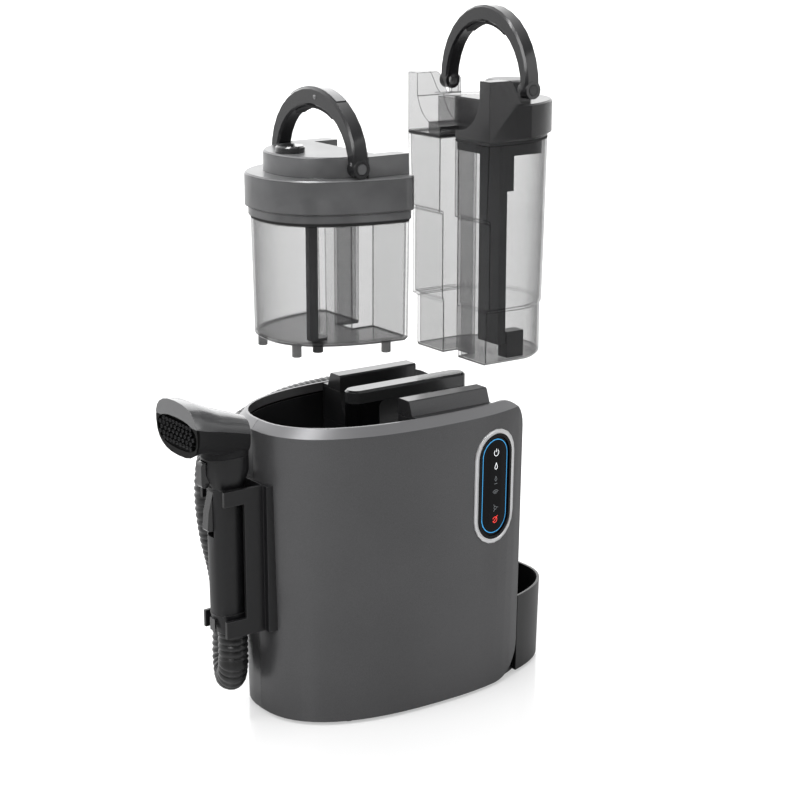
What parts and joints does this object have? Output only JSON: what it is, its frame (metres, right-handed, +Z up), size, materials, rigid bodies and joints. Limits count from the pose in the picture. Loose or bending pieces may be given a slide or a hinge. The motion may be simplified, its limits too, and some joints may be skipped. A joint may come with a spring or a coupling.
{
  "type": "steam vacuum spot cleaner",
  "caption": "Portable spot cleaner: an oval body with a carry handle and control panel, lift-out clean and dirty water tanks with swing bails, a ribbed hose and a clip-on steam hand tool.",
  "frame": {"origin": "centre of the underside of the machine box, measured without the hose and what is on it, at floor level", "axes": "+Z up, -Y towards the control panel, -X towards the hand tool, +X towards the cup of the dirty water tank"},
  "size_m": [0.4148, 0.2245, 0.663],
  "materials": {
    "graphite_shell": "metallic dark grey, satin",
    "silver_trim": "silver-white, satin",
    "lid_metallic": "metallic grey, satin",
    "black_plastic": "fine-grained black",
    "gloss_black": "polished black",
    "smoked_clear": "clear plastic with a grey tint",
    "black_rubber": "soft black",
    "bare_steel": "plain",
    "panel_light": "blue light line",
    "brush_fibre": "short stiff bristles",
    "green_board": "circuit board",
    "float_white": "plain white"
  },
  "bodies": {
    "base": {"base_tray": "black_plastic", "front_cover": "graphite_shell", "rear_cover": "graphite_shell", "foot_1": "black_rubber", "foot_2": "black_rubber", "foot_3": "black_rubber", "foot_4": "black_rubber", "centre_column": "black_plastic", "column_cap": "black_plastic", "front_shoulder": "lid_metallic", "rear_shoulder": "lid_metallic", "carry_handle": "graphite_shell", "clean_bay": "black_plastic", "valve_seat": "black_rubber", "panel_ring": "silver_trim", "panel_glass": "gloss_black", "panel_light_ring": "panel_light", "cradle_bracket": "black_plastic", "hose": "black_plastic", "hose_port": "black_plastic", "hose_hook_upper": "black_plastic", "hose_hook_lower": "black_plastic", "mains_gland": "black_rubber", "exhaust_grille": "black_plastic", "suction_motor": "bare_steel", "fan_housing": "black_plastic", "air_pipe": "black_plastic", "steam_boiler": "bare_steel", "water_pump": "black_plastic", "control_board": "green_board"},
    "fan": {"suction_fan": "bare_steel"},
    "clean_tank": {"clean_tank_shell": "smoked_clear", "clean_tank_lid": "lid_metallic", "clean_tank_seal": "black_rubber", "clean_pickup_pipe": "black_plastic"},
    "clean_bail": {"clean_bail": "gloss_black", "clean_bail_grip": "black_rubber"},
    "filler_cap": {"filler_cap": "black_plastic"},
    "valve_plunger": {"clean_valve_plunger": "black_plastic"},
    "dirty_tank": {"dirty_tank_shell": "smoked_clear", "dirty_tank_lid": "lid_metallic", "dirty_tank_seal": "black_rubber", "dirty_cap": "black_plastic", "separator": "black_plastic", "dirty_inlet_duct": "black_plastic", "dirty_valve_box": "black_plastic"},
    "dirty_bail": {"dirty_bail": "gloss_black", "dirty_bail_grip": "black_rubber"},
    "tank_float": {"dirty_float": "float_white"},
    "handset": {"hose_cuff": "black_plastic", "handset_grip": "black_plastic", "handset_neck": "black_plastic", "cuff_latch": "gloss_black", "handset_cover": "lid_metallic", "handset_head": "black_plastic", "brush_bristles": "brush_fibre"},
    "trigger": {"steam_trigger": "gloss_black"},
    "lever": {"release_lever": "gloss_black"}
  },
  "joints": [
    {"name": "fan_spin", "type": "hinge", "parent": "base", "child": "fan", "pos_m": [0.05231, 0, 0.108], "axis": [0, 0, 1], "continuous": true},
    {"name": "clean_tank_lift", "type": "slide", "parent": "base", "child": "clean_tank", "axis": [0, 0, 1], "range_m": [-0.2325, 0]},
    {"name": "clean_bail_swing", "type": "hinge", "parent": "clean_tank", "child": "clean_bail", "pos_m": [-0.04794, 0, 0.529], "axis": [0, 1, 0], "range_deg": [-65, 0]},
    {"name": "filler_cap_open", "type": "hinge", "parent": "clean_tank", "child": "filler_cap", "pos_m": [-0.06494, 0, 0.539], "axis": [0, 1, 0], "range_deg": [0, 90]},
    {"name": "valve_plunger_press", "type": "slide", "parent": "clean_tank", "child": "valve_plunger", "axis": [0, 0, 1], "range_m": [0, 0.004], "stiffness_N_per_m": 150},
    {"name": "dirty_tank_lift", "type": "slide", "parent": "base", "child": "dirty_tank", "axis": [0, 0, 1], "range_m": [-0.2905, 0]},
    {"name": "dirty_bail_swing", "type": "hinge", "parent": "dirty_tank", "child": "dirty_bail", "pos_m": [0.14806, 0, 0.587], "axis": [0, 1, 0], "range_deg": [0, 80]},
    {"name": "float_rise", "type": "slide", "parent": "dirty_tank", "child": "tank_float", "axis": [0, 0, 1], "range_m": [0, 0.015]},
    {"name": "handset_pull", "type": "slide", "parent": "base", "child": "handset", "axis": [-1, 0, 0], "range_m": [0, 0.06]},
    {"name": "trigger_squeeze", "type": "hinge", "parent": "handset", "child": "trigger", "pos_m": [-0.16644, 0, 0.2275], "axis": [0, -1, 0], "range_deg": [0, 5], "stiffness_Nm_per_rad": 0.4},
    {"name": "lever_press", "type": "hinge", "parent": "handset", "child": "lever", "pos_m": [-0.17544, 0, 0.25825], "axis": [0, -1, 0], "range_deg": [0, 5], "stiffness_Nm_per_rad": 0.3}
  ]
}
